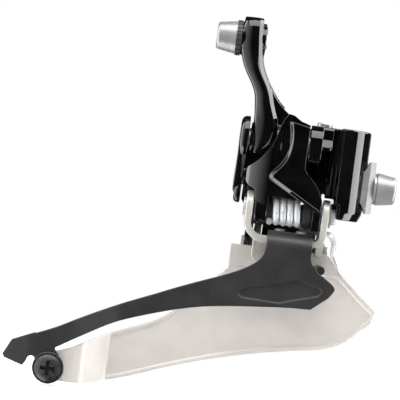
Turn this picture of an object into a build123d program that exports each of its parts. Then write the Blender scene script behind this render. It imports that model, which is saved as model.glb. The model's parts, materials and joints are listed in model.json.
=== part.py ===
from build123d import *
import math
import os

# Front derailleur for a road bicycle, braze-on type, in millimetres.
#
# The row frame: +X runs forward along the pivot pins, -Y is outboard (the side
# away from the frame) and +Z runs up along the seat tube. The origin is where
# the mounting bolt's axis meets the convex mounting pad. The cage hangs from a
# parallelogram of four pivots, all parallel to X, drawn at the inner stop.

# --- Linkage: pivot centres in the YZ plane at rest ------------------------
OUTER_TOP = (-9.0, 8.8)
OUTER_LOW = (-4.3, -8.7)
PIVOT_OFFSET = (15.3, -10.0)
INNER_TOP = (OUTER_TOP[0] + PIVOT_OFFSET[0], OUTER_TOP[1] + PIVOT_OFFSET[1])
INNER_LOW = (OUTER_LOW[0] + PIVOT_OFFSET[0], OUTER_LOW[1] + PIVOT_OFFSET[1])
PIN_R = 2.0
PIN_FIT = 0.005
BUSH_WALL = 0.7
RUNNING = 0.03

# --- Stations along X ------------------------------------------------------
REAR_WALL = (-34.0, -31.7)
ARM_HUB = (-31.3, -23.5)
LINK_HUB = (-23.2, -16.45)
INNER_HUB = (-31.3, -16.45)
FRONT_WALL = (-16.1, -12.9)
NECK_FRONT = -7.5
REAR_EAR = (-30.0, -28.2)
BACK_EAR = (-26.9, -25.1)
FRONT_EAR = (-10.4, -8.6)
REAR_KNUCKLE = (-27.9, -24.6)
FRONT_KNUCKLE = (-12.9, -10.7)
COIL_SPAN = (-24.4, -15.5)
INNER_KNUCKLE = (-29.2, -10.7)
CLEAR = 0.3

# --- Pivot walls, hubs and links -------------------------------------------
WALL_TOP_R = 5.5
BOSS_R = 5.2
WALL_LOW_R = 4.8
HUB_R = 4.7
ARM_HUB_R = 3.9
KNUCKLE_R = 4.2
INNER_HUB_R = 3.9
INNER_KNUCKLE_R = 3.4
WEB = 4.2
LINK_SLOPE = (OUTER_LOW[0] - OUTER_TOP[0] + 0.45, OUTER_LOW[1] - OUTER_TOP[1])
SHIELD_RISE = 0.9

# --- Mounting pad and its fasteners ----------------------------------------
PAD_R = 9.5
PAD_DEPTH = 8.0
PAD_TOP = 14.2
PAD_LOW = -9.2
BOLT_R = 2.5
HEAD_R = 4.25
HEAD_TIP_R = 3.45
HEAD_LENGTH = 5.0
SOCKET_AF = 4.0
SADDLE_THICK = 2.1
COLLAR_THICK = 0.8

# --- Limit screws: centres in (x, y) ---------------------------------------
LOW_SCREW = (-12.3, 0.6)
HIGH_SCREW = (-20.6, 3.0)
LOW_SCREW_SEAT = 12.7
HIGH_SCREW_SEAT = 11.0
SCREW_R = 1.5
SCREW_SEAT_R = 2.1
SCREW_HEAD_R = 2.0

# --- Cable clamp on the arm ------------------------------------------------
CLAMP_Z = 34.0
CLAMP_Y = -4.0
ARM_BACK = -36.7
CABLE_R = 0.65
CABLE_Y = CLAMP_Y + 3.35
WASHER_THICK = 1.35

# --- Cage ------------------------------------------------------------------
OUTER_FACE = -9.2
OUTER_THICK = 1.5
INNER_FACE = 5.0
INNER_THICK = 1.4
RIM_WIDTH = 1.15
RIM_HEIGHT = 0.5
TAIL_SCREW = (-75.0, -56.4)
TAIL_SHIFT = 2.6
BASE_TOP = -15.5
BASE_THICK = 1.7
BASE_FRONT = -5.0
NECK = (-23.6, -11.8)
NECK_BEND = 3.4
NECK_Z = -18.0
YOKE_R = (5.2, 3.2)
RIVET_R = 1.5
RIVET_X = (-21.6, -15.4)
RIVET_Z = -20.6
CROWN_X = (-20.5, -14.9)
CROWN_Y = -3.5
CROWN_R = 1.0
FLANGE_END = -2.0
SPACER = (-9.0, -22.7)
SPACER_R = 1.15
SPIGOT_R = 0.7

# --- Return spring ---------------------------------------------------------
WIRE_R = 0.84
LEG_R = 0.7
COIL_R = 3.12
TURNS = 4
LEG_HOLE = (-1.1, -13.2)


# --- Drawing helpers -------------------------------------------------------
def slab_x(sketch, low, high):
    """A sketch drawn in (y, z), extruded from x=low to x=high."""
    return extrude(Plane((low, 0, 0), x_dir=(0, 1, 0), z_dir=(1, 0, 0)) * sketch, high - low)


def slab_y(sketch, low, high):
    """A sketch drawn in (x, z), extruded from y=low to y=high."""
    return extrude(Plane((0, high, 0), x_dir=(1, 0, 0), z_dir=(0, -1, 0)) * sketch, high - low)


def slab_z(sketch, low, high):
    """A sketch drawn in (x, y), extruded from z=low to z=high."""
    return extrude(Plane((0, 0, low)) * sketch, high - low)


def disc_x(centre, radius, low, high):
    """A cylinder along X, its centre given in (y, z)."""
    return slab_x(Pos(*centre) * Circle(radius), low, high)


def cone_x(centre, low, high, r_low, r_high):
    """A cone along X from radius r_low at x=low to r_high at x=high."""
    middle = ((low + high) / 2, *centre)
    return Pos(*middle) * Rot(0, 90, 0) * Cone(r_low, r_high, high - low)


def disc_y(centre, radius, low, high):
    """A cylinder along Y, its centre given in (x, z)."""
    return slab_y(Pos(*centre) * Circle(radius), low, high)


def disc_z(centre, radius, low, high):
    """A cylinder along Z, its centre given in (x, y)."""
    return slab_z(Pos(*centre) * Circle(radius), low, high)


def box(x, y, z):
    """A box from three (low, high) pairs."""
    size = [b - a for a, b in (x, y, z)]
    centre = [(a + b) / 2 for a, b in (x, y, z)]
    return Pos(*centre) * Box(*size)


def closed(*edges):
    """The face inside edges that join end to end."""
    return make_face(Wire(edges))


def hull_of(*circles):
    """The convex hull of circles given as (centre, radius)."""
    return make_hull([e for c, r in circles for e in (Pos(*c) * Circle(r)).edges()])


def ring_x(centre, inner, outer, low, high):
    return disc_x(centre, outer, low, high) - disc_x(centre, inner, low - 1, high + 1)


# --- Fixed body ------------------------------------------------------------
def wall_sketch(top_r, low_r=WALL_LOW_R):
    """A pivot wall: the hull of the bosses round both upper pivots."""
    return hull_of((OUTER_TOP, top_r), (INNER_TOP, low_r))


def rear_wall():
    wall = slab_x(wall_sketch(WALL_TOP_R), *REAR_WALL)
    wall = fillet(wall.faces().sort_by(Axis.X)[0].edges(), 1.5)
    foot = slab_x(hull_of((INNER_TOP, WALL_LOW_R), ((4.6, -5.7), 2.3)), REAR_WALL[0] + 0.5, REAR_WALL[1])
    return wall + fillet(foot.faces().sort_by(Axis.X)[0].edges(), 1.1)


def bridge():
    """The block that joins both walls behind the links, with its webs."""
    outline = Polyline((-1, 4.4), (9, 4.4), (10.4, 7.5), (9.4, 11.5), (0.6, 11.5), (-1, 9.9), close=True)
    block = slab_x(make_face(outline), REAR_WALL[0] + 1.2, NECK_FRONT)
    block = fillet(block.edges().filter_by(Axis.X), 0.8)
    rear_web = box((REAR_WALL[1] - 0.5, -27.4), (-0.9, 1.9), (0.9, 5.2))
    front_web = box((-17.6, FRONT_WALL[1]), (-0.9, 1.9), (-3.1, 5.2))
    roof = box((-18.0, FRONT_WALL[1]), (1.5, 9.2), (11.0, 13.4))
    return block + rear_web + front_web + roof


def neck():
    """The body between the front wall and the pad, with its fairing."""
    side = Polyline(
        (-5.6, -3.1), (8.2, -3.1), (9.4, 2.0), (9.0, 12.4),
        (6.0, 14.0), (-6.6, 14.0), (-7.6, 10.5), (-5.2, 7.0), close=True,
    )
    block = slab_x(make_face(side), FRONT_WALL[0] + 0.8, NECK_FRONT)
    fairing_plan = Polyline((-13.0, -3), (-13.0, -5.6), (-10.4, -7.2), (-8.0, -7.9), (-8.0, -3), close=True)
    fairing_side = closed(
        Line((-13.0, 8.6), (-8.0, 8.6)),
        Line((-8.0, 8.6), (-8.0, -4.1)),
        Line((-8.0, -4.1), (-8.5, -4.1)),
        Spline((-8.5, -4.1), (-9.9, -0.4), (-13.0, 1.2), tangents=((-0.1, 1), (-1, 0))),
        Line((-13.0, 1.2), (-13.0, 8.6)),
    )
    fairing = slab_z(make_face(fairing_plan), -6, 10) & slab_y(fairing_side, -10, 0)
    rib_plan = Polyline((-10.4, -4), (-10.4, -7.8), (-9.3, -8.6), (-9.3, -4), close=True)
    rib = slab_z(make_face(rib_plan), -4.1, PAD_TOP - 0.5)
    groove = box((-9.4, NECK_FRONT), (-8.0, 8.4), (-4.1, PAD_TOP - 0.3))
    return block + fairing + rib + groove


def shoulder():
    """The stepped shoulder beside the outer top boss."""
    profile = Polyline(
        (-4, 14.0), (-9.4, 14.0), (-10.2, 13.2), (-10.2, 10.7),
        (-11.7, 8.6), (-11.2, 7.9), (-7.0, 7.4), (-4, 7.4), close=True,
    )
    block = slab_x(make_face(profile), FRONT_WALL[1] - 0.4, -10.2)
    return chamfer(block.faces().sort_by(Axis.X)[-1].edges().group_by(Axis.Y)[0], 0.5)


def pad_block():
    """The convex pad that the frame's tab is clamped on."""
    round_front = Pos(-PAD_R, 0) * Circle(PAD_R)
    plan = round_front & Pos(-PAD_DEPTH / 2, 0) * Rectangle(PAD_DEPTH, 2 * PAD_R)
    block = slab_z(plan, PAD_LOW, PAD_TOP)
    back_edges = block.edges().filter_by(Axis.Z).group_by(Axis.X)[0]
    block = chamfer(back_edges, 0.75)
    front_top = block.edges().group_by(Axis.Z)[-1].sort_by(Axis.X)[-1]
    block = fillet(front_top, 0.5)
    front_low = block.edges().group_by(Axis.Z)[0].sort_by(Axis.X)[-1]
    block = chamfer(front_low, 2.0, 0.9)
    pin_pocket = box((-9, -6.3), (-12, 3), (PAD_LOW - 1, -5.3))
    return block - pin_pocket


def main_body():
    boss = slab_x(wall_sketch(BOSS_R), *FRONT_WALL)
    body = rear_wall() + boss + bridge() + neck() + shoulder() + pad_block()
    for centre in (OUTER_TOP, INNER_TOP):
        body -= disc_x(centre, PIN_R + PIN_FIT, -36, FRONT_WALL[1] - 0.5)
    body -= disc_x((0, 0), BOLT_R, -10.5, 1)
    for centre, bore_low, seat in ((LOW_SCREW, -8, LOW_SCREW_SEAT), (HIGH_SCREW, 3, HIGH_SCREW_SEAT)):
        body -= disc_z(centre, SCREW_SEAT_R, bore_low, 16)
        body -= disc_z(centre, SCREW_HEAD_R + 0.25, seat - 0.1, 16)
    return body


# --- Limit screws ----------------------------------------------------------
def limit_screw(centre, tip, seat):
    """A slotted, domed screw along Z with a rounded tip."""
    x, y = centre
    dome_low = seat + 1.2
    dome = Pos(x, y, dome_low) * Sphere(SCREW_HEAD_R + 0.25)
    dome &= disc_z(centre, SCREW_HEAD_R, dome_low, seat + 2.6)
    head = disc_z(centre, SCREW_HEAD_R, seat, dome_low + 0.1) + dome
    shank = disc_z(centre, SCREW_R, tip, seat + 0.1)
    shank = fillet(shank.edges().group_by(Axis.Z)[0], 0.6)
    slot = box((x - 3, x + 3), (y - 0.3, y + 0.3), (seat + 1.5, seat + 4))
    return head + shank - slot


def limit_inserts():
    """Nylon sleeves that stop the limit screws from turning on their own."""
    sleeves = []
    for centre, low, high in ((LOW_SCREW, 3.0, 12.4), (HIGH_SCREW, 4.6, 10.6)):
        outer = disc_z(centre, SCREW_SEAT_R - 0.01, low, high)
        sleeves.append(outer - disc_z(centre, SCREW_R + RUNNING, low - 1, high + 1))
    return Compound(children=sleeves)


# --- Pivot pins and bushes -------------------------------------------------
def upper_pin(centre):
    """A plain pin pressed into both walls, with a domed rear end."""
    pin = disc_x(centre, PIN_R, REAR_WALL[0] + 0.1, FRONT_WALL[1] - 0.6)
    return fillet(pin.edges().group_by(Axis.X)[0], 0.4)


def lower_pin(centre, rear_face):
    """A headed pin through the yoke's ears; its rear end is peened over rear_face."""
    shank = disc_x(centre, PIN_R, rear_face - 0.15, FRONT_EAR[1] + 1.0)
    peen = disc_x(centre, PIN_R + 0.4, rear_face - 0.65, rear_face - 0.02)
    head = disc_x(centre, PIN_R + 0.1, FRONT_EAR[1] + 0.65, FRONT_EAR[1] + 1.9)
    head = fillet(head.edges().group_by(Axis.X)[-1], 0.6)
    return shank + peen + head


def pin_washer(centre):
    return ring_x(centre, PIN_R + 0.05, 2.9, FRONT_EAR[1] + 0.02, FRONT_EAR[1] + 0.63)


def bush(centre, low, high):
    return ring_x(centre, PIN_R + RUNNING, PIN_R + BUSH_WALL, low, high)


def bush_hole(centre, low, high):
    return disc_x(centre, PIN_R + BUSH_WALL + PIN_FIT, low, high)


# --- Socket-head fasteners -------------------------------------------------
def cone_head_bolt(centre, seat, tip, direction):
    """A bolt along X: tapered head outward of seat, shank reaching to tip."""
    low, high = sorted((seat, seat + direction * HEAD_LENGTH))
    radii = (HEAD_R, HEAD_TIP_R) if direction > 0 else (HEAD_TIP_R, HEAD_R)
    head = cone_x(centre, low, high, *radii)
    outward = -1 if direction > 0 else 0
    head = fillet(head.edges().filter_by(GeomType.CIRCLE).sort_by(Axis.X)[outward], 0.9)
    hexagon = Pos(*centre) * RegularPolygon(SOCKET_AF / 2, 6, major_radius=False)
    end = seat + direction * HEAD_LENGTH
    socket_low, socket_high = sorted((end - direction * 3.0, end + direction))
    shank_low, shank_high = sorted((tip, seat))
    shank = disc_x(centre, BOLT_R - 0.05, shank_low, shank_high)
    inward = 0 if direction > 0 else -1
    shank = chamfer(shank.edges().sort_by(Axis.X)[inward], 0.5)
    return head + shank - slab_x(hexagon, socket_low, socket_high)


def saddle_washer():
    """The radius washer on the far side of the frame's tab."""
    plan = Polyline(
        (-3, -4.5), (0.6, -4.5), (SADDLE_THICK, -3.2), (SADDLE_THICK, 3.2), (0.6, 4.5), (-3, 4.5), close=True,
    )
    side = Polyline(
        (-3, -4.1), (-0.9, -4.1), (0.7, -6.7), (SADDLE_THICK + 1, -6.7),
        (SADDLE_THICK + 1, 6.7), (0.7, 6.7), (-0.9, 4.1), (-3, 4.1), close=True,
    )
    block = slab_z(make_face(plan), -8, 8) & slab_y(make_face(side), -8, 8)
    block -= slab_z(Pos(-PAD_R, 0) * Circle(PAD_R + 0.05), -9, 9)
    block -= disc_x((0, 0), BOLT_R + 0.2, -3, 4)
    return block


def bolt_collar():
    ring = ring_x((0, 0), BOLT_R + 0.1, 4.0, SADDLE_THICK + 0.02, SADDLE_THICK + COLLAR_THICK)
    return chamfer(ring.edges().group_by(Axis.X)[-1].sort_by(SortBy.RADIUS)[-1], 0.2)


# --- Cable arm -------------------------------------------------------------
def limb_section(z, x_low, x_high, y_low, y_high):
    """The limb's section: rounded rear front corner, bevelled fore front corner."""
    bevel, corner = 1.05, 0.8
    round_x, round_y = 0.8 * (x_high - x_low - bevel), 2.1
    share = 1 - math.sqrt(0.5)
    return Plane((0, 0, z)) * closed(
        Line((x_high, y_low + bevel), (x_high, y_high - corner)),
        Line((x_high, y_high - corner), (x_high - corner, y_high)),
        Line((x_high - corner, y_high), (x_low + corner, y_high)),
        Line((x_low + corner, y_high), (x_low, y_high - corner)),
        Line((x_low, y_high - corner), (x_low, y_low + round_y)),
        Spline(
            (x_low, y_low + round_y),
            (x_low + share * round_x, y_low + share * round_y),
            (x_low + round_x, y_low),
            tangents=((0, -1), (1, 0)),
        ),
        Line((x_low + round_x, y_low), (x_high - bevel, y_low)),
        Line((x_high - bevel, y_low), (x_high, y_low + bevel)),
    )


def limb():
    """The arm's S-shaped limb, from its round lower end to the clamp."""
    stations = [
        (5.0, -30.6, -28.2, -12.5, -7.6),
        (6.0, -30.8, -27.2, -13.1, -7.2),
        (7.4, -30.9, -26.1, -13.6, -6.9),
        (9.6, -31.0, -25.1, -13.9, -6.7),
        (11.5, -31.0, -24.8, -14.0, -6.6),
        (14.0, -31.0, -25.1, -13.9, -6.8),
        (19.2, -31.5, -26.8, -12.8, -6.4),
        (24.4, -33.9, -29.1, -11.4, -4.6),
        (29.6, -36.2, -30.8, -9.6, -1.4),
        (34.0, -36.8, -31.3, -8.9, 0.6),
        (36.8, -36.7, -31.5, -8.6, 0.7),
        (38.5, -36.5, -31.5, -7.8, 0.5),
        (39.7, -36.4, -31.6, -6.0, 0.0),
    ]
    return loft([limb_section(*station) for station in stations])


def back_flange():
    """The thin flange that stands out in front of the limb's back edge."""
    stations = [
        (17.4, -23.2, -7.4),
        (20.8, -26.3, -7.0),
        (24.5, -28.6, -5.6),
        (29.9, -30.4, -2.7),
        (34.3, -30.2, -0.6),
        (38.6, -30.6, -0.7),
    ]
    sections = [Pos(x - 2, y - 0.6, z) * Rectangle(4, 1.4) for z, x, y in stations]
    return loft(sections)


def gusset():
    """The web that carries the flange down over the link's hub."""
    outline = closed(
        Line((-30.0, 24.0), (-28.6, 24.0)),
        Spline((-28.6, 24.0), (-26.4, 20.1), (-22.0, 15.9), tangents=((0.5, -1), (1, -0.75))),
        Line((-22.0, 15.9), (-19.6, 14.8)),
        Line((-19.6, 14.8), (-17.2, 14.2)),
        Line((-17.2, 14.2), (-17.2, 12.6)),
        Line((-17.2, 12.6), (-28.0, 12.6)),
        Line((-28.0, 12.6), (-30.0, 24.0)),
    )
    web = slab_y(outline, -9.4, -6.9)
    return web - disc_x(OUTER_TOP, HUB_R + 0.02, LINK_HUB[0] - 0.3, LINK_HUB[1] + 1)


def cable_arm():
    hub = disc_x(OUTER_TOP, ARM_HUB_R, *ARM_HUB)
    boss = disc_x((CLAMP_Y, CLAMP_Z), 3.9, -32.5, -30.3)
    boss = fillet(boss.edges().group_by(Axis.X)[-1], 0.5)
    seat = disc_x((CLAMP_Y, CLAMP_Z), 4.3, ARM_BACK, -35.0)
    arm = limb() + back_flange() + gusset() + hub + boss + seat
    arm -= box((-40, ARM_BACK), (-12, 5), (29, 41))
    arm -= disc_x((CLAMP_Y, CLAMP_Z), BOLT_R, -40, -30)
    arm -= bush_hole(OUTER_TOP, ARM_HUB[0] - 1, ARM_HUB[1] + 1)
    arm -= cable_channel()
    return arm


def cable_channel():
    """The channel that the inner cable lies in, half of it in the arm."""
    return Pos(ARM_BACK, CABLE_Y, CLAMP_Z) * Cylinder(CABLE_R, 30)


def cable_washer():
    """A toothed clamp washer with its own tab over the cable."""
    centre = (CLAMP_Y, CLAMP_Z)
    ring = ring_x(centre, BOLT_R + 0.1, 4.55, ARM_BACK - WASHER_THICK, ARM_BACK - 0.01)
    teeth = 24
    for i in range(teeth):
        angle = 2 * math.pi * i / teeth
        spot = (centre[0] + 4.65 * math.cos(angle), centre[1] + 4.65 * math.sin(angle))
        ring -= disc_x(spot, 0.28, ARM_BACK - 2, ARM_BACK + 1)
    return ring - cable_channel()


# --- Outer link ------------------------------------------------------------
def link_outline():
    """The link seen from outboard, without the spring's notch."""
    return closed(
        Line((-22.2, 15.9), (-20.8, 15.6)),
        Spline((-20.8, 15.6), (-19.4, 14.7), (-16.5, 13.7), tangents=((1, -0.5), (1, -0.25))),
        Line((-16.5, 13.7), (-16.45, 3.4)),
        Spline((-16.45, 3.4), (-14.9, 0.8), (-11.0, -4.8), tangents=((0, -1), (0.4, -1))),
        Line((-11.0, -4.8), (-10.75, -12.9)),
        Line((-10.75, -12.9), (-12.9, -12.9)),
        Line((-12.9, -12.9), (-12.9, -7.6)),
        Line((-12.9, -7.6), (-16.6, -5.6)),
        Line((-16.6, -5.6), (-24.6, -5.2)),
        Line((-24.6, -5.2), (-24.6, -11.8)),
        Line((-24.6, -11.8), (-27.9, -11.8)),
        Line((-27.9, -11.8), (-28.3, -4.6)),
        Spline((-28.3, -4.6), (-30.3, -3.1), (-31.35, -0.5), (-30.8, 1.6), tangents=((-0.3, 1), (0.6, 0.8))),
        Spline(
            (-30.8, 1.6), (-27.4, 4.8), (-24.9, 9.1), (-23.7, 13.4), (-22.2, 15.9),
            tangents=((1, 0.6), (0.9, 1)),
        ),
    )


def shield_outline():
    """The foot of the raised shield's bevel."""
    return closed(
        Line((-21.8, 14.0), (-16.5, 13.0)),
        Line((-16.5, 13.0), (-16.45, 3.4)),
        Spline((-16.45, 3.4), (-14.9, 0.8), (-11.0, -4.8), tangents=((0, -1), (0.4, -1))),
        Line((-11.0, -4.8), (-10.95, -8.2)),
        Line((-10.95, -8.2), (-12.9, -7.6)),
        Line((-12.9, -7.6), (-24.2, -1.4)),
        Spline((-24.2, -1.4), (-25.0, -0.4), (-24.5, 0.8), tangents=((-1, 0.5), (0.8, 1))),
        Spline((-24.5, 0.8), (-21.7, 5.0), (-21.1, 9.6), (-21.8, 14.0), tangents=((0.8, 1), (-0.2, 1))),
    )


def along_link(sketch, z_top, z_low):
    """A plan sketch swept down the slope of the link's front."""
    reach = (z_top - z_low) / -LINK_SLOPE[1]
    vector = Vector(0, LINK_SLOPE[0] * reach, z_low - z_top)
    y_shift = LINK_SLOPE[0] * (z_top - OUTER_TOP[1]) / LINK_SLOPE[1]
    return extrude(Pos(0, y_shift, z_top) * sketch, amount=vector.length, dir=vector)


def link_shell(front):
    """The curved outer wall: flat behind the shield, rounding back to the rear."""
    plan = closed(
        Line((-9, front), (-22.0, front)),
        Spline((-22.0, front), (-28.9, front + 1.5), (-31.8, front + 5.0), tangents=((-1, 0), (-0.3, 1))),
        Line((-31.8, front + 5.0), (-31.8, front + WEB + 2.4)),
        Line((-31.8, front + WEB + 2.4), (-26, front + WEB + 0.3)),
        Line((-26, front + WEB + 0.3), (-9, front + WEB)),
        Line((-9, front + WEB), (-9, front)),
    )
    return slab_y(link_outline(), -25, 5) & along_link(plan, 18, -15)


def shield_face(shield):
    """The shield's outboard face, which leans as the link does."""
    lean = Vector(0, LINK_SLOPE[1], -LINK_SLOPE[0]).normalized()
    outward = [face for face in shield.faces() if face.normal_at().dot(lean) > 0.99]
    return ShapeList(outward).sort_by(Axis.Y)[0]


def link_shield(front):
    """The raised shield: wide bevels on its rear and lower sides."""
    slab = Pos(-15, front + 0.6 - SHIELD_RISE / 2) * Rectangle(40, 1.2 + SHIELD_RISE)
    shield = slab_y(shield_outline(), -25, 0) & along_link(slab, 18, -15)
    wide = [e for e in shield_face(shield).edges() if e.center().X < -17.5 and e.center().Z < 12]
    return chamfer(wide, 0.8)


def outer_link():
    front = OUTER_TOP[0] - HUB_R
    hub = disc_x(OUTER_TOP, HUB_R, *LINK_HUB)
    rear = disc_x(OUTER_LOW, KNUCKLE_R, *REAR_KNUCKLE)
    rear = fillet(rear.edges(), 0.5)
    near = disc_x(OUTER_LOW, KNUCKLE_R, *FRONT_KNUCKLE)
    near = fillet(near.edges(), 0.4)
    stop = box((-14.0, -10.7), (-4.0, 1.8), (-6.6, -4.9))
    link = link_shell(front) + link_shield(front) + hub + rear + near + stop
    link -= disc_x(OUTER_LOW, KNUCKLE_R + 0.25, REAR_KNUCKLE[1], FRONT_KNUCKLE[0])
    bores = (OUTER_TOP, LINK_HUB), (OUTER_LOW, REAR_KNUCKLE), (OUTER_LOW, FRONT_KNUCKLE)
    for centre, (low, high) in bores:
        link -= bush_hole(centre, low - 1, high + 1)
    link -= disc_x(OUTER_TOP, ARM_HUB_R + CLEAR, REAR_WALL[0], LINK_HUB[0])
    link -= slab_x(wall_sketch(BOSS_R + CLEAR, WALL_LOW_R + CLEAR), FRONT_WALL[0] - CLEAR, FRONT_EAR[1])
    rear_clearance = wall_sketch(WALL_TOP_R + CLEAR, WALL_LOW_R + CLEAR)
    link -= slab_x(rear_clearance, REAR_WALL[0] - 1, REAR_WALL[1] + CLEAR)
    link -= disc_x(OUTER_LOW, KNUCKLE_R + CLEAR, REAR_WALL[0], REAR_EAR[1] + 0.15)
    return link


# --- Inner link ------------------------------------------------------------
def inner_link():
    outline = Polyline(
        (INNER_HUB[0], 4.5), (INNER_HUB[1], 4.5), (INNER_HUB[1], -7.6),
        (INNER_KNUCKLE[1], -12.0), (INNER_KNUCKLE[1], -24),
        (INNER_KNUCKLE[0], -24), (INNER_KNUCKLE[0], -10.0), (INNER_HUB[0], -7.0),
        close=True,
    )
    profile = hull_of((INNER_TOP, 2.3), (INNER_LOW, 2.2))
    web = slab_y(make_face(outline), -10, 20) & slab_x(profile, REAR_WALL[0], FRONT_EAR[1])
    window = slab_y(Pos(-19.2, -9.8) * RectangleRounded(7.0, 5.0, 1.5), 0, 20)
    link = web - window
    link += disc_x(INNER_TOP, INNER_HUB_R, *INNER_HUB)
    link += disc_x(INNER_LOW, INNER_KNUCKLE_R, *INNER_KNUCKLE)
    link += box((-23.0, -18.2), (0.6, 5.0), (-2.2, 0.4))
    link -= box((BACK_EAR[0] - CLEAR, BACK_EAR[1] + CLEAR), (-5, 25), (-30, -9.0))
    link -= bush_hole(INNER_TOP, INNER_HUB[0] - 1, INNER_HUB[1] + 1)
    link -= bush_hole(INNER_LOW, INNER_KNUCKLE[0] - 1, INNER_KNUCKLE[1] + 1)
    return link


def inner_upper_bushes():
    low, high = INNER_HUB
    rear_bush = bush(INNER_TOP, low + 0.02, low + 4.0)
    front_bush = bush(INNER_TOP, high - 4.0, high - 0.02)
    return Compound(children=[rear_bush, front_bush])


def inner_lower_bushes():
    low, high = INNER_KNUCKLE
    rear = bush(INNER_LOW, low + 0.02, BACK_EAR[0] - CLEAR)
    return Compound(children=[rear, bush(INNER_LOW, high - 4.0, high - 0.02)])


# --- Cage ------------------------------------------------------------------
def lower_edge_inner():
    return Spline(
        (-73.0, -59.6), (-66.0, -59.5), (-60.6, -58.6), (-48.0, -54.3),
        (-35.0, -49.9), (-22.0, -46.4), (-11.4, -44.4),
        (-3.9, -42.8), (0.9, -40.1), (4.6, -36.6), (7.2, -31.6), tangents=((1, 0), (0.2, 1)),
    )


def inner_outline():
    lower = lower_edge_inner()
    nose = Spline((7.2, -31.6), (0.6, -26.2), (-4.4, -21.3), (-9.0, -18.4), tangents=((-0.85, 0.7), (-1, 0)))
    hidden = Line((-32.4, -25.2), (-44.4, -37.4))
    upper = Spline(
        (-44.4, -37.4), (-49.4, -41.1), (-58.0, -44.8), (-70.0, -50.6),
        tangents=((-0.75, -0.75), (-0.85, -0.45)),
    )
    return closed(
        lower,
        nose,
        Line((-9.0, -18.4), (-32.4, -18.8)),
        Line((-32.4, -18.8), (-32.4, -25.2)),
        hidden,
        upper,
        Line((-70.0, -50.6), (-76.2, -52.9)),
        Spline((-76.2, -52.9), (-78.4, -56.0), (-76.2, -59.3), tangents=((-0.8, -0.6), (0.8, -0.6))),
        Line((-76.2, -59.3), (-73.0, -59.6)),
    )


def bent_band(points, thickness, radius):
    """A strip of sheet in plan, following points, with rounded bends."""
    return trace(FilletPolyline(*points, radius=radius), line_width=thickness)


def inner_band(y, tail_y, thickness):
    """The inner plate in plan: straight, then a joggle out to the tail."""
    return bent_band([(-85, tail_y), (-67.4, tail_y), (-60.8, y), (20, y)], thickness, 2.6)


def inner_plate():
    """The inner plate: a joggled tail, and a rim round its sunken face."""
    y = INNER_FACE + INNER_THICK / 2
    tail_y = OUTER_FACE + TAIL_SHIFT + OUTER_THICK + INNER_THICK / 2 + 0.02
    face = inner_outline()
    plate = slab_y(face, -25, 25) & slab_z(inner_band(y, tail_y, INNER_THICK), -70, 0)
    inset = face & Pos(0, RIM_WIDTH) * face & Pos(-RIM_WIDTH / 2, -RIM_WIDTH) * face
    sunk = slab_y(inset, -25, 25) & box((-60.5, 8.0), (-25, 25), (-70, -24))
    skin_y = INNER_FACE - 1 + RIM_HEIGHT / 2
    skin_shift = tail_y - y
    plate -= sunk & slab_z(inner_band(skin_y, skin_y + skin_shift, RIM_HEIGHT + 2), -70, 0)
    for low, high in (BACK_EAR, FRONT_EAR):
        plate -= slab_x(ear_sketch(), low - 0.1, high + 0.1)
    for x in RIVET_X:
        plate -= disc_y((x, RIVET_Z), RIVET_R + PIN_FIT, 0, 10)
    plate -= disc_y(SPACER, SPIGOT_R + PIN_FIT, 0, 10)
    plate -= disc_y(TAIL_SCREW, 2.05, -10, 5)
    return plate


def outer_outline():
    """The outer plate from outboard, up to where its neck bends over."""
    return closed(
        Line((NECK[0], NECK_Z), (-23.8, -19.2)),
        Spline(
            (-23.8, -19.2), (-26.2, -23.0), (-31.9, -26.2), (-38.2, -28.8), (-44.5, -31.4), (-50.8, -34.2),
            (-57.0, -36.9), (-63.6, -40.1), (-70.4, -43.7), (-76.2, -46.7), (-80.7, -48.5), (-85.2, -50.4),
            tangents=((-0.1, -1), (-1, -0.45)),
        ),
        Line((-85.2, -50.4), (-87.2, -54.4)),
        Line((-87.2, -54.4), (-86.6, -55.3)),
        Line((-86.6, -55.3), (-81.7, -56.7)),
        Line((-81.7, -56.7), (-80.9, -55.4)),
        Spline((-80.9, -55.4), (-80.1, -54.0), (-78.7, -54.4), tangents=((0.2, 1), (0.6, -0.8))),
        Spline(
            (-78.7, -54.4), (-78.3, -57.5), (-75.3, -59.6), (-72.3, -58.3), (-71.6, -55.2), (-73.1, -52.4),
            tangents=((-0.2, -1), (-0.8, 1)),
        ),
        Line((-73.1, -52.4), (-74.0, -51.2)),
        Spline(
            (-74.0, -51.2), (-70.0, -48.7), (-65.1, -45.7), (-59.6, -42.6), (-53.3, -40.1), (-46.3, -37.8),
            (-38.0, -35.7), (-24.3, -33.9), (-10.3, -32.9), tangents=((0.85, 0.5), (1, 0.02)),
        ),
        Line((-10.3, -32.9), (-6.0, -29.3)),
        Spline((-6.0, -29.3), (-4.8, -26.8), (-6.0, -25.5), tangents=((0.6, 1), (-1, 0.7))),
        Line((-6.0, -25.5), (-8.3, -24.0)),
        Spline((-8.3, -24.0), (-9.7, -23.1), (-10.1, -22.1), (-11.1, -21.5), tangents=((-1, 0.5), (-1, 0.2))),
        Spline((-11.1, -21.5), (-11.7, -20.2), (NECK[1], NECK_Z), tangents=((-0.8, 0.8), (0, 1))),
        Line((NECK[1], NECK_Z), (NECK[0], NECK_Z)),
    )


def outer_band():
    """The outer plate in plan: straight, closing in towards the tail, its tip bent in."""
    y = OUTER_FACE + OUTER_THICK / 2
    tail_y = y + TAIL_SHIFT
    points = [(-95, tail_y + 3.0), (-79.9, tail_y), (-69.6, tail_y), (-58, y), (10, y)]
    return bent_band(points, OUTER_THICK, 12)


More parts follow.
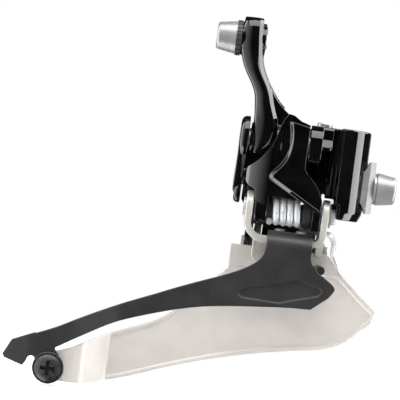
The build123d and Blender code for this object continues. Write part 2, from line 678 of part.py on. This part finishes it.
def pocket_outline():
    return closed(
        Line((-27.2, -29.6), (-18.4, -27.2)),
        Spline((-18.4, -27.2), (-15.0, -26.1), (-11.6, -26.5), tangents=((1, 0.3), (1, -0.2))),
        Line((-11.6, -26.5), (-8.6, -27.1)),
        Spline((-8.6, -27.1), (-7.9, -27.9), (-8.6, -29.2), tangents=((0.6, -0.5), (-0.5, -1))),
        Line((-8.6, -29.2), (-16.0, -31.4)),
        Spline((-16.0, -31.4), (-18.6, -32.2), (-21.2, -32.2), tangents=((-1, -0.35), (-1, 0.05))),
        Line((-21.2, -32.2), (-27.8, -32.0)),
        Spline((-27.8, -32.0), (-29.1, -31.2), (-27.2, -29.6), tangents=((-1, 0.2), (0.8, 0.6))),
    )


def outer_plate():
    """The outer plate: bent neck, closing tail and a stamped shift ramp."""
    plate = slab_y(outer_outline(), -25, 25) & slab_z(outer_band(), -70, 0)
    y = OUTER_FACE + OUTER_THICK / 2
    top = BASE_TOP + OUTER_THICK / 2 + 0.02
    bend = FilletPolyline((y, NECK_Z - 0.6), (y, top), (FLANGE_END, top), radius=NECK_BEND)
    plate += slab_x(trace(bend, line_width=OUTER_THICK), *NECK)
    ramp = slab_y(pocket_outline(), OUTER_FACE + OUTER_THICK - 0.1, OUTER_FACE + OUTER_THICK + 0.8)
    ramp = chamfer(ramp.faces().sort_by(Axis.Y)[-1].edges(), 0.25)
    plate += ramp
    plate -= slab_y(pocket_outline(), OUTER_FACE - 1, OUTER_FACE + 0.45)
    plate -= disc_y(TAIL_SCREW, 2.05, -12, 0)
    for x in CROWN_X:
        plate -= disc_z((x, CROWN_Y), CROWN_R + PIN_FIT, -20, -10)
    return plate


def yoke_profile():
    """The yoke's U from outboard: two ears and a base, its corners rounded."""
    left, right = REAR_EAR[0], FRONT_EAR[1]
    inner_left, inner_right = REAR_EAR[1], FRONT_EAR[0]
    low = BASE_TOP - BASE_THICK
    bend = BASE_THICK + 0.2
    outer = FilletPolyline((left, 0), (left, low), (right, low), (right, 0), radius=[YOKE_R[0], YOKE_R[1]])
    inner = FilletPolyline(
        (inner_right, 0), (inner_right, BASE_TOP), (inner_left, BASE_TOP), (inner_left, 0),
        radius=[YOKE_R[1] - bend, YOKE_R[0] - bend],
    )
    ends = [Line((right, 0), (inner_right, 0)), Line((inner_left, 0), (left, 0))]
    return make_face([*outer.edges(), ends[0], *inner.edges(), ends[1]])


def ear_sketch():
    return hull_of((OUTER_LOW, KNUCKLE_R), (INNER_LOW, 3.8))


def back_ear(front):
    """The part of an ear that lies further inboard than front."""
    return ear_sketch() & Pos(front + 10, 0) * Rectangle(20, 60)


def bracket():
    """The yoke that carries both lower pivots above the chain."""
    low = BASE_TOP - BASE_THICK
    base_back = INNER_FACE - 0.1
    base = Pos((BASE_FRONT + base_back) / 2, low + 2) * Rectangle(base_back - BASE_FRONT, 4)
    skirt = make_hull((Pos(*OUTER_LOW) * Circle(KNUCKLE_R)).edges() + base.edges())
    yoke = slab_x(skirt, REAR_EAR[0] - 1, FRONT_EAR[1] + 1) & slab_y(yoke_profile(), -15, 15)
    yoke += slab_x(back_ear(-4.0), *FRONT_EAR) + slab_x(back_ear(3.6), *BACK_EAR)
    hanger = box((BACK_EAR[0], -12.2), (3.4, INNER_FACE - 0.04), (-22.8, BASE_TOP - 0.1))
    yoke += fillet(hanger.edges().filter_by(Axis.Y).group_by(Axis.Z)[0], 2.0)
    for centre in (OUTER_LOW, INNER_LOW):
        yoke -= disc_x(centre, PIN_R + PIN_FIT, -32, -7)
    yoke -= disc_x(LEG_HOLE, LEG_R + 0.15, FRONT_EAR[0] - 1, FRONT_EAR[1] + 1)
    for x in RIVET_X:
        yoke -= disc_y((x, RIVET_Z), RIVET_R + PIN_FIT, 0, 10)
    for x in CROWN_X:
        yoke -= disc_z((x, CROWN_Y), CROWN_R + PIN_FIT, -20, -10)
    return yoke


def plate_rivets():
    """Two rivets holding the inner plate on the yoke's hanger."""
    rivets = []
    for x in RIVET_X:
        shank = disc_y((x, RIVET_Z), RIVET_R, 3.3, 6.5)
        back = disc_y((x, RIVET_Z), 2.2, INNER_FACE + INNER_THICK + 0.01, INNER_FACE + INNER_THICK + 0.75)
        back = fillet(back.edges().group_by(Axis.Y)[-1], 0.4)
        near = disc_y((x, RIVET_Z), 2.2, 2.75, 3.39)
        near = fillet(near.edges().group_by(Axis.Y)[0], 0.4)
        rivets.append(shank + back + near)
    return Compound(children=rivets)


def crown_rivets():
    """Two rivets holding the outer plate's flange on the yoke's base."""
    rivets = []
    top = BASE_TOP + OUTER_THICK + 0.02
    low = BASE_TOP - BASE_THICK
    for x in CROWN_X:
        shank = disc_z((x, CROWN_Y), CROWN_R, low - 0.1, top + 0.1)
        head = disc_z((x, CROWN_Y), CROWN_R + 0.45, top + 0.01, top + 0.6)
        head = fillet(head.edges().group_by(Axis.Z)[-1], 0.35)
        foot = disc_z((x, CROWN_Y), CROWN_R + 0.45, low - 0.6, low - 0.01)
        foot = fillet(foot.edges().group_by(Axis.Z)[0], 0.35)
        rivets.append(shank + head + foot)
    return Compound(children=rivets)


def front_spacer():
    """A black stud that keeps the two plates apart above the chain."""
    gap_low, gap_high = OUTER_FACE + OUTER_THICK + 0.01, INNER_FACE - 0.01
    barrel = disc_y(SPACER, SPACER_R, gap_low, gap_high)
    spigot = disc_y(SPACER, SPIGOT_R, gap_high - 0.1, INNER_FACE + INNER_THICK + 0.3)
    return barrel + spigot


# --- Tail screw ------------------------------------------------------------
def tail_screw():
    """A cross-recessed pan head screw with a wide flange."""
    seat = OUTER_FACE + TAIL_SHIFT - 0.01
    flange = disc_y(TAIL_SCREW, 4.1, seat - 0.7, seat)
    flange = fillet(flange.edges().group_by(Axis.Y)[0], 0.3)
    dome = Pos(TAIL_SCREW[0], seat + 3.1, TAIL_SCREW[1]) * Sphere(6.0)
    pan = disc_y(TAIL_SCREW, 3.4, seat - 3.2, seat - 0.6) & dome
    shank = disc_y(TAIL_SCREW, 1.98, seat - 0.1, seat + 5.0)
    arms = Pos(*TAIL_SCREW) * Rectangle(3.8, 0.95) + Pos(*TAIL_SCREW) * Rectangle(0.95, 3.8)
    recess = slab_y(arms, seat - 4, seat - 1.2)
    return flange + pan + shank - recess


def tail_nut():
    seat = OUTER_FACE + TAIL_SHIFT + OUTER_THICK + INNER_THICK + 0.05
    hexagon = Pos(*TAIL_SCREW) * RegularPolygon(3.0, 6, major_radius=False)
    nut = slab_y(hexagon, seat, seat + 2.2)
    return nut - disc_y(TAIL_SCREW, 2.0, seat - 1, seat + 4)


# --- Return spring ---------------------------------------------------------
def spring_sleeve():
    """A black sleeve on the pivot pin that the coil is wound round."""
    low, high = REAR_KNUCKLE[1] + 0.05, FRONT_KNUCKLE[0] - 0.05
    thin = ring_x(OUTER_LOW, PIN_R + RUNNING, COIL_R - WIRE_R - 0.06, low, high)
    collar = ring_x(OUTER_LOW, PIN_R + RUNNING, 3.7, COIL_SPAN[1] + 0.15, high)
    collar = chamfer(collar.edges().filter_by(GeomType.CIRCLE).sort_by(SortBy.RADIUS)[-2:], 0.3)
    return thin + collar


def return_spring():
    """The close-wound torsion spring, with its long leg over the cage."""
    pitch = (COIL_SPAN[1] - COIL_SPAN[0] - 2 * WIRE_R) / TURNS
    helix = Helix(pitch, pitch * TURNS, COIL_R)
    place = Pos(COIL_SPAN[0] + WIRE_R, *OUTER_LOW) * Rot(0, 90, 0)
    coil = place * sweep(Plane(helix @ 0, z_dir=helix % 0) * Circle(WIRE_R), helix, is_frenet=True)
    leave = (place * Pos(helix @ 1)).position
    onward = (place * Pos(helix @ 1 + helix % 1)).position - leave
    points = [
        leave,
        leave + onward * (LEG_HOLE[0] - leave.Y),
        (leave.X + 2.6, *LEG_HOLE),
        (-7.4, *LEG_HOLE),
        (-5.9, 4.2, -15.0),
        (-5.6, 7.6, -18.6),
        (-3.9, 7.7, -22.2),
    ]
    path = FilletPolyline(*points, radius=[1.2, 1.6, 1.6, 1.6, 1.6])
    leg = sweep(Plane(path @ 0, z_dir=path % 0) * Circle(LEG_R), path)
    return Compound(children=[coil, leg])


# --- Every node ------------------------------------------------------------
def parts():
    pad_seat = SADDLE_THICK + COLLAR_THICK + 0.02
    knuckle_bushes = [bush(OUTER_LOW, *REAR_KNUCKLE), bush(OUTER_LOW, *FRONT_KNUCKLE)]
    return {
        "main_body": main_body(),
        "mounting_bolt": cone_head_bolt((0, 0), pad_seat, -9.8, 1),
        "mounting_washer": saddle_washer(),
        "bolt_collar": bolt_collar(),
        "low_limit_screw": limit_screw(LOW_SCREW, -4.75, LOW_SCREW_SEAT),
        "high_limit_screw": limit_screw(HIGH_SCREW, 3.8, HIGH_SCREW_SEAT),
        "limit_screw_inserts": limit_inserts(),
        "outer_upper_pin": upper_pin(OUTER_TOP),
        "inner_upper_pin": upper_pin(INNER_TOP),
        "cable_arm": cable_arm(),
        "arm_bush": bush(OUTER_TOP, *ARM_HUB),
        "cable_bolt": cone_head_bolt((CLAMP_Y, CLAMP_Z), ARM_BACK - WASHER_THICK - 0.05, -30.0, -1),
        "cable_washer": cable_washer(),
        "outer_link": outer_link(),
        "link_upper_bush": bush(OUTER_TOP, *LINK_HUB),
        "link_lower_bushes": Compound(children=knuckle_bushes),
        "spring_sleeve": spring_sleeve(),
        "return_spring": return_spring(),
        "inner_link": inner_link(),
        "inner_upper_bushes": inner_upper_bushes(),
        "inner_lower_bushes": inner_lower_bushes(),
        "cage_bracket": bracket(),
        "cage_inner_plate": inner_plate(),
        "cage_outer_plate": outer_plate(),
        "inner_plate_rivets": plate_rivets(),
        "outer_plate_rivets": crown_rivets(),
        "front_spacer": front_spacer(),
        "tail_screw": tail_screw(),
        "tail_nut": tail_nut(),
        "outer_lower_pin": lower_pin(OUTER_LOW, REAR_EAR[0]),
        "inner_lower_pin": lower_pin(INNER_LOW, INNER_KNUCKLE[0]),
        "pin_washers": Compound(children=[pin_washer(centre) for centre in (OUTER_LOW, INNER_LOW)]),
    }


if __name__ == "__main__":
    os.makedirs("parts", exist_ok=True)
    for name, shape in parts().items():
        export_step(shape, f"parts/{name}.step")
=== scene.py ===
"""The looks of a braze-on front derailleur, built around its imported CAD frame.

Every piece is in metres in the row frame: +X forward along the pivot pins,
-Y outboard, +Z up along the seat tube. The camera looks along +Y.
"""

import json
import math

import bmesh
import bpy
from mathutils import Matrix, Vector


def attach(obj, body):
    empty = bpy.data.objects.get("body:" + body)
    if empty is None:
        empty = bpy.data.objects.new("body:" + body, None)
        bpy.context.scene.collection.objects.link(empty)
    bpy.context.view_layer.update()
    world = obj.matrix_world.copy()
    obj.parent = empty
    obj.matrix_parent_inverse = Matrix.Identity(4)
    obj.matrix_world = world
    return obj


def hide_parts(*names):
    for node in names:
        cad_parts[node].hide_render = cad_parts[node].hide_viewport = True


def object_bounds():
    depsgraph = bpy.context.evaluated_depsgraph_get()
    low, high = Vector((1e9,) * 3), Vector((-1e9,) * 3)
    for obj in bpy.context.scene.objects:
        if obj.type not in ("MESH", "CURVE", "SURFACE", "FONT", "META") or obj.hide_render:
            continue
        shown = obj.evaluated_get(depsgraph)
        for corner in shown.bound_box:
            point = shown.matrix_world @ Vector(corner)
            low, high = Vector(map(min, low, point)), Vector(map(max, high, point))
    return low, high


MM = 0.001
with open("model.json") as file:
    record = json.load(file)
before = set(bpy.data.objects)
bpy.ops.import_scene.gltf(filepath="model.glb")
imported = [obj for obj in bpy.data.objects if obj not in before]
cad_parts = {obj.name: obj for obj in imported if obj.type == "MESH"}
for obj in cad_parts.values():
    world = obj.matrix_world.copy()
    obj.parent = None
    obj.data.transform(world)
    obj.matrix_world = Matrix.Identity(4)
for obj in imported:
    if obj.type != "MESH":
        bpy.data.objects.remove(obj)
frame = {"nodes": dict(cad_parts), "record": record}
CAD_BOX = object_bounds()
NODES = frame["nodes"]


# --- Camera ----------------------------------------------------------------
CAMERA_ROLL = math.radians(7.5)
CAMERA_DISTANCE = 0.70
FRAME_WIDTH = 103.1 * MM
AIM = Vector((-41.9, -3.0, -8.7)) * MM
SENSOR = 36.0


def add_camera():
    """A long lens level with the object, rolled a little."""
    data = bpy.data.cameras.new("camera")
    data.sensor_width = SENSOR
    data.lens = SENSOR * CAMERA_DISTANCE / FRAME_WIDTH
    data.clip_start = 0.01
    camera = bpy.data.objects.new("camera", data)
    camera.location = AIM - Vector((0, CAMERA_DISTANCE, 0))
    camera.rotation_euler = (math.pi / 2, -CAMERA_ROLL, 0)
    bpy.context.collection.objects.link(camera)
    bpy.context.scene.camera = camera


# --- Materials -------------------------------------------------------------
# The colour sockets of a Mix node, which has the same names for every type.
MIX_COLOUR_INPUTS = (6, 7)
MIX_COLOUR_OUTPUT = 2


class Shader:
    """A Principled material that is filled in one step at a time."""

    def __init__(self, name, **sockets):
        self.material = bpy.data.materials.new(name)
        self.material.use_nodes = True
        self.tree = self.material.node_tree
        self.main = self.tree.nodes["Principled BSDF"]
        for socket, value in sockets.items():
            self.main.inputs[socket.replace("_", " ")].default_value = value
        self.place = self.add("ShaderNodeTexCoord").outputs["Object"]

    def add(self, kind, inputs=None, **settings):
        """A new node, with its settings and with its inputs linked or set."""
        node = self.tree.nodes.new(kind)
        for key, value in settings.items():
            setattr(node, key, value)
        for key, value in (inputs or {}).items():
            if isinstance(value, bpy.types.NodeSocket):
                self.tree.links.new(value, node.inputs[key])
            else:
                node.inputs[key].default_value = value
        return node

    def link(self, source, socket):
        """Feeds a socket of the Principled node."""
        self.tree.links.new(source, self.main.inputs[socket])

    def noise(self, size_mm, detail=3.0, rough=0.55, stretch=(1, 1, 1)):
        """Noise whose features are about size_mm across, stretched along an axis."""
        mapping = self.add("ShaderNodeMapping", {"Vector": self.place, "Scale": stretch})
        node = self.add("ShaderNodeTexNoise", {
            "Vector": mapping.outputs["Vector"],
            "Scale": 1 / (size_mm * MM),
            "Detail": detail,
            "Roughness": rough,
        })
        return node.outputs["Fac"]

    def cells(self, size_mm):
        """Distance to the nearest of many points about size_mm apart."""
        node = self.add("ShaderNodeTexVoronoi", {"Vector": self.place, "Scale": 1 / (size_mm * MM)})
        return node.outputs["Distance"]

    def span(self, value, low, high, to_low, to_high):
        """value from low..high mapped onto to_low..to_high, and held there."""
        node = self.add("ShaderNodeMapRange", {
            "Value": value, "From Min": low, "From Max": high, "To Min": to_low, "To Max": to_high,
        })
        return node.outputs["Result"]

    def blend(self, amount, first, second):
        """The first colour where amount is 0, the second where it is 1."""
        node = self.add("ShaderNodeMix", {"Factor": amount}, data_type="RGBA")
        for index, colour in zip(MIX_COLOUR_INPUTS, (first, second)):
            if isinstance(colour, bpy.types.NodeSocket):
                self.tree.links.new(colour, node.inputs[index])
            else:
                node.inputs[index].default_value = (*colour, 1)
        return node.outputs[MIX_COLOUR_OUTPUT]

    def edges(self, low, high):
        """1 on sharp outer edges, 0 elsewhere."""
        pointed = self.add("ShaderNodeNewGeometry").outputs["Pointiness"]
        return self.span(pointed, low, high, 0.0, 1.0)

    def times(self, first, second):
        """The product of two sockets."""
        node = self.add("ShaderNodeMath", operation="MULTIPLY")
        self.tree.links.new(first, node.inputs[0])
        self.tree.links.new(second, node.inputs[1])
        return node.outputs[0]

    def bump(self, *layers):
        """Stacked bumps, each (height socket, strength, depth in mm)."""
        normal = None
        for height, strength, depth_mm in layers:
            node = self.add("ShaderNodeBump", {
                "Height": height, "Strength": strength, "Distance": depth_mm * MM,
            })
            if normal is not None:
                self.tree.links.new(normal, node.inputs["Normal"])
            normal = node.outputs["Normal"]
        self.link(normal, "Normal")


def gloss_black():
    """Baked black paint with faint orange peel, handling haze and thin edges."""
    s = Shader("gloss_black", IOR=1.5, Specular_IOR_Level=0.0, Coat_Weight=1.0, Coat_IOR=1.55)
    haze = s.noise(5.0, 4.0)
    grime = s.noise(0.7, 5.0)
    base = s.blend(s.span(haze, 0.35, 0.7, 0, 1), (0.0008, 0.0008, 0.0009), (0.0026, 0.0026, 0.003))
    worn = s.times(s.edges(0.56, 0.7), s.span(grime, 0.45, 0.75, 0.0, 0.5))
    s.link(s.blend(worn, base, (0.035, 0.034, 0.033)), "Base Color")
    s.link(s.span(grime, 0.3, 0.8, 0.3, 0.5), "Roughness")
    s.link(s.span(grime, 0.35, 0.75, 0.02, 0.05), "Coat Roughness")
    s.bump((s.noise(1.8, 2.0), 0.03, 0.02), (s.noise(0.2, 2.0), 0.01, 0.003))
    return s.material


def charcoal_plate():
    """Satin charcoal coating: fine even grain, faint rubbing, brighter edges."""
    s = Shader("outer_plate_grey", Roughness=0.4, IOR=1.5, Metallic=0.0)
    fine = s.noise(0.16, 3.0)
    cloud = s.noise(9.0, 3.0)
    base = s.blend(s.span(cloud, 0.35, 0.68, 0, 1), (0.012, 0.012, 0.0125), (0.019, 0.019, 0.0195))
    base = s.blend(s.span(fine, 0.4, 0.75, 0.0, 0.35), base, (0.040, 0.040, 0.041))
    worn = s.times(s.edges(0.53, 0.62), s.span(s.noise(1.1, 4.0), 0.4, 0.7, 0.1, 0.6))
    s.link(s.blend(worn, base, (0.13, 0.13, 0.135)), "Base Color")
    s.link(s.span(s.noise(2.5, 5.0), 0.3, 0.75, 0.33, 0.5), "Roughness")
    s.bump((fine, 0.18, 0.012), (s.noise(0.5, 2.0), 0.06, 0.02))
    return s.material


def pearl_silver():
    """Bead-blasted silver with a warm pearl tone and tiny bright flecks."""
    s = Shader("pearl_silver", IOR=1.5, Metallic=0.25)
    flecks = s.cells(0.16)
    cloud = s.noise(7.0, 4.0)
    grain = s.noise(0.22, 4.0, 0.7)
    base = s.blend(s.span(cloud, 0.3, 0.7, 0, 1), (0.46, 0.428, 0.402), (0.54, 0.508, 0.48))
    base = s.blend(s.span(grain, 0.35, 0.7, 0.0, 0.5), base, (0.62, 0.593, 0.57))
    base = s.blend(s.span(flecks, 0.0, 0.25, 0.5, 0.0), base, (0.80, 0.78, 0.765))
    s.link(base, "Base Color")
    s.link(s.span(grain, 0.3, 0.75, 0.34, 0.55), "Roughness")
    s.bump((grain, 0.35, 0.02), (flecks, 0.22, 0.012))
    return s.material


TURNED = (9, 1, 1)
UNTURNED = (1, 1, 1)


def turned_steel(name, tone, low, high, metallic=0.3, size=0.5, stretch=TURNED):
    """Satin steel: fine marks, turned round X or without direction, and bright edges."""
    s = Shader(name, Metallic=metallic)
    grooves = s.noise(size, 4.0, 0.6, stretch)
    cloud = s.noise(1.6, 4.0)
    dark = tuple(0.78 * c for c in tone)
    bright = tuple(1.25 * c for c in tone)
    base = s.blend(s.span(grooves, 0.3, 0.7, 0, 1), dark, tone)
    worn = s.times(s.edges(0.52, 0.6), s.span(cloud, 0.35, 0.65, 0.2, 0.8))
    s.link(s.blend(worn, base, bright), "Base Color")
    s.link(s.span(cloud, 0.3, 0.7, low, high), "Roughness")
    s.bump((grooves, 0.12, 0.012), (s.noise(0.12, 2.0), 0.08, 0.006))
    return s.material


def black_oxide():
    """Black-finished steel, rubbed a little on its edges."""
    s = Shader("black_screw", IOR=1.5, Metallic=0.0)
    cloud = s.noise(0.9, 5.0)
    base = s.blend(s.span(cloud, 0.3, 0.7, 0, 1), (0.012, 0.012, 0.012), (0.024, 0.024, 0.024))
    worn = s.times(s.edges(0.54, 0.64), s.span(s.noise(0.4, 3.0), 0.4, 0.7, 0.1, 0.7))
    s.link(s.blend(worn, base, (0.10, 0.10, 0.10)), "Base Color")
    s.link(s.span(cloud, 0.3, 0.7, 0.22, 0.42), "Roughness")
    s.bump((s.noise(0.2, 3.0), 0.12, 0.01))
    return s.material


def polymer(name, tone):
    """Moulded polymer with fine texture."""
    s = Shader(name, IOR=1.46)
    cloud = s.noise(1.2, 4.0)
    light = tuple(1.6 * c for c in tone)
    s.link(s.blend(s.span(cloud, 0.3, 0.7, 0, 1), tone, light), "Base Color")
    s.link(s.span(cloud, 0.3, 0.7, 0.38, 0.55), "Roughness")
    s.bump((s.noise(0.15, 3.0), 0.15, 0.01))
    return s.material


def drawn_wire():
    """Bright spring wire with faint clouding."""
    s = Shader("spring_steel", Metallic=0.4)
    marks = s.span(s.noise(1.2, 3.0), 0.3, 0.7, 0, 1)
    s.link(s.blend(marks, (0.56, 0.57, 0.59), (0.66, 0.67, 0.69)), "Base Color")
    s.link(s.span(s.noise(0.8, 4.0), 0.3, 0.7, 0.24, 0.36), "Roughness")
    s.bump((s.noise(0.12, 2.0), 0.03, 0.003))
    return s.material


def all_materials():
    """One material for each slot of the record."""
    return {
        "gloss_black": gloss_black(),
        "outer_plate_grey": charcoal_plate(),
        "pearl_silver": pearl_silver(),
        "yoke_silver": turned_steel(
            "yoke_silver", (0.56, 0.54, 0.50), 0.3, 0.42, 0.35, 0.35, UNTURNED),
        "bolt_steel": turned_steel("bolt_steel", (0.33, 0.33, 0.326), 0.28, 0.4, 0.5),
        "washer_steel": turned_steel(
            "washer_steel", (0.20, 0.20, 0.197), 0.36, 0.5, 0.25, 0.3, UNTURNED),
        "spring_steel": drawn_wire(),
        "pin_steel": turned_steel("pin_steel", (0.45, 0.45, 0.46), 0.24, 0.36),
        "dark_steel": turned_steel(
            "dark_steel", (0.05, 0.05, 0.05), 0.34, 0.5, 0.5, 0.3, UNTURNED),
        "black_screw": black_oxide(),
        "black_polymer": polymer("black_polymer", (0.012, 0.012, 0.012)),
        "bush_polymer": polymer("bush_polymer", (0.12, 0.11, 0.09)),
    }


# --- Meshes ----------------------------------------------------------------
def apply_modifiers(obj):
    """Bakes the object's modifiers into its mesh."""
    graph = bpy.context.evaluated_depsgraph_get()
    mesh = bpy.data.meshes.new_from_object(obj.evaluated_get(graph))
    obj.modifiers.clear()
    obj.data = mesh


def cast_skin(node, body, slot, voxel_mm, rounds):
    """A finer skin over a CAD node whose edges are rounded as paint or casting leaves them."""
    piece = bpy.data.objects.new(node + "_skin", NODES[node].data.copy())
    bpy.context.collection.objects.link(piece)
    remesh = piece.modifiers.new("remesh", "REMESH")
    remesh.mode = "VOXEL"
    remesh.voxel_size = voxel_mm * MM
    remesh.use_smooth_shade = True
    smooth = piece.modifiers.new("smooth", "SMOOTH")
    smooth.factor = 0.5
    smooth.iterations = rounds
    apply_modifiers(piece)
    piece.data.materials.clear()
    piece.data.materials.append(MATERIALS[slot])
    for polygon in piece.data.polygons:
        polygon.use_smooth = True
    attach(piece, body)
    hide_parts(node)


# --- Light and stage -------------------------------------------------------
PANEL_DISTANCE = 0.6
FILL_DISTANCE = 0.9
FLOOR_RADIUS = 0.26
FLOOR_FADE_START = 0.10
FLOOR_GAP = 0.5 * MM
ROOM_DARK = 0.03
ROOM_WHITE = 1.0


def place_of(azimuth, elevation, distance=PANEL_DISTANCE):
    """A point seen from the object: azimuth 0 is outboard, 90 is forward."""
    az = math.radians(azimuth)
    el = math.radians(elevation)
    level = Vector((math.sin(az), -math.cos(az), 0)) * math.cos(el)
    return AIM + distance * (level + Vector((0, 0, math.sin(el))))


def glow_panel(name, azimuth, elevation, width, height, strong, weak=None):
    """A soft box: an emissive sheet, fading from strong to weak across its width."""
    mesh = bpy.data.meshes.new(name)
    w = width / 2
    h = height / 2
    mesh.from_pydata([(-w, -h, 0), (w, -h, 0), (w, h, 0), (-w, h, 0)], [], [(0, 1, 2, 3)])
    uv = mesh.uv_layers.new(name="across")
    for loop, corner in zip(uv.data, ((0, 0), (1, 0), (1, 1), (0, 1))):
        loop.uv = corner
    panel = bpy.data.objects.new(name, mesh)
    panel.location = place_of(azimuth, elevation)
    panel.rotation_euler = (AIM - panel.location).to_track_quat("Z", "Y").to_euler()
    material = bpy.data.materials.new(name)
    material.use_nodes = True
    tree = material.node_tree
    tree.nodes.clear()
    glow = tree.nodes.new("ShaderNodeEmission")
    out = tree.nodes.new("ShaderNodeOutputMaterial")
    tree.links.new(glow.outputs[0], out.inputs["Surface"])
    glow.inputs["Strength"].default_value = strong
    if weak is not None:
        across = tree.nodes.new("ShaderNodeUVMap")
        split = tree.nodes.new("ShaderNodeSeparateXYZ")
        ramp = tree.nodes.new("ShaderNodeMapRange")
        ramp.interpolation_type = "SMOOTHSTEP"
        ramp.inputs["To Min"].default_value = strong
        ramp.inputs["To Max"].default_value = weak
        tree.links.new(across.outputs[0], split.inputs[0])
        tree.links.new(split.outputs["X"], ramp.inputs["Value"])
        tree.links.new(ramp.outputs["Result"], glow.inputs["Strength"])
    mesh.materials.append(material)
    panel.visible_camera = False
    bpy.context.collection.objects.link(panel)


def fill_light(name, azimuth, elevation, size, power):
    """A large soft lamp that shows in no reflection."""
    data = bpy.data.lights.new(name, "AREA")
    data.size = size
    data.energy = power
    lamp = bpy.data.objects.new(name, data)
    lamp.location = place_of(azimuth, elevation, FILL_DISTANCE)
    lamp.rotation_euler = (lamp.location - AIM).to_track_quat("Z", "Y").to_euler()
    lamp.visible_glossy = False
    bpy.context.collection.objects.link(lamp)


def add_world():
    """A white backdrop behind the object and a dark room in front of it."""
    world = bpy.data.worlds.new("studio")
    bpy.context.scene.world = world
    world.use_nodes = True
    tree = world.node_tree
    tree.nodes.clear()
    seen = tree.nodes.new("ShaderNodeLightPath").outputs["Is Camera Ray"]
    toward = tree.nodes.new("ShaderNodeTexCoord").outputs["Generated"]
    split = tree.nodes.new("ShaderNodeSeparateXYZ")
    tree.links.new(toward, split.inputs[0])
    ramp = tree.nodes.new("ShaderNodeMapRange")
    ramp.interpolation_type = "SMOOTHSTEP"
    limits = {"From Min": 0.8, "From Max": 0.99, "To Min": ROOM_DARK, "To Max": ROOM_WHITE}
    for socket, value in limits.items():
        ramp.inputs[socket].default_value = value
    tree.links.new(split.outputs["Y"], ramp.inputs["Value"])
    room = tree.nodes.new("ShaderNodeBackground")
    tree.links.new(ramp.outputs["Result"], room.inputs["Strength"])
    white = tree.nodes.new("ShaderNodeBackground")
    for background in (room, white):
        background.inputs["Color"].default_value = (1.0, 1.0, 1.0, 1)
    mix = tree.nodes.new("ShaderNodeMixShader")
    out = tree.nodes.new("ShaderNodeOutputWorld")
    tree.links.new(seen, mix.inputs["Fac"])
    tree.links.new(room.outputs[0], mix.inputs[1])
    tree.links.new(white.outputs[0], mix.inputs[2])
    tree.links.new(mix.outputs[0], out.inputs["Surface"])


def add_floor():
    """A pale round table whose border melts into the white around it."""
    mesh = bpy.data.meshes.new("floor")
    table = bmesh.new()
    bmesh.ops.create_circle(table, cap_ends=True, segments=96, radius=FLOOR_RADIUS)
    table.to_mesh(mesh)
    table.free()
    material = bpy.data.materials.new("floor")
    material.use_nodes = True
    tree = material.node_tree
    main = tree.nodes["Principled BSDF"]
    main.inputs["Base Color"].default_value = (0.93, 0.93, 0.93, 1)
    main.inputs["Roughness"].default_value = 0.8
    main.inputs["Emission Color"].default_value = (1, 1, 1, 1)
    main.inputs["Emission Strength"].default_value = 0.35
    distance = tree.nodes.new("ShaderNodeVectorMath")
    distance.operation = "LENGTH"
    tree.links.new(tree.nodes.new("ShaderNodeTexCoord").outputs["Object"], distance.inputs[0])
    fade = tree.nodes.new("ShaderNodeMapRange")
    fade.interpolation_type = "SMOOTHSTEP"
    limits = {"From Min": FLOOR_FADE_START, "From Max": FLOOR_RADIUS, "To Min": 1.0, "To Max": 0.0}
    for socket, value in limits.items():
        fade.inputs[socket].default_value = value
    tree.links.new(distance.outputs["Value"], fade.inputs["Value"])
    tree.links.new(fade.outputs["Result"], main.inputs["Alpha"])
    mesh.materials.append(material)
    floor = bpy.data.objects.new("floor", mesh)
    floor.location = (AIM.x, 0, CAD_BOX[0].z - FLOOR_GAP)
    floor.visible_glossy = False
    bpy.context.collection.objects.link(floor)


def add_lights():
    """Panels for the reflections and one lamp for the flat faces."""
    glow_panel("right_strip", 90, 0, 0.30, 1.9, 7.0)
    glow_panel("left_strip", -98, 4, 0.24, 1.4, 6.0)
    glow_panel("left_soft", -50, 6, 1.0, 1.2, 0.0, 2.8)
    glow_panel("right_high", 113, 38, 0.34, 0.45, 7.0)
    glow_panel("top_box", 0, 70, 0.8, 0.5, 5.0)
    glow_panel("low_left", -84, -60, 0.6, 0.45, 4.5)
    fill_light("front_fill", -15, 28, 0.7, 9.0)


# --- The scene -------------------------------------------------------------
add_camera()
MATERIALS = all_materials()
for sub in frame["record"]["subparts"]:
    data = NODES[sub["node"]].data
    data.materials.clear()
    data.materials.append(MATERIALS[sub["material_slot"]])

cast_skin("cable_arm", "outer_arm", "gloss_black", 0.13, 8)
cast_skin("outer_link", "outer_arm", "gloss_black", 0.12, 5)
cast_skin("main_body", "fixed_body", "gloss_black", 0.15, 5)
cast_skin("inner_link", "inner_arm", "gloss_black", 0.2, 5)
cast_skin("cage_bracket", "cage", "yoke_silver", 0.18, 5)
cast_skin("cage_inner_plate", "cage", "pearl_silver", 0.2, 4)
cast_skin("cage_outer_plate", "cage", "outer_plate_grey", 0.16, 4)

add_world()
add_floor()
add_lights()
bpy.context.scene.view_settings.view_transform = "Standard"
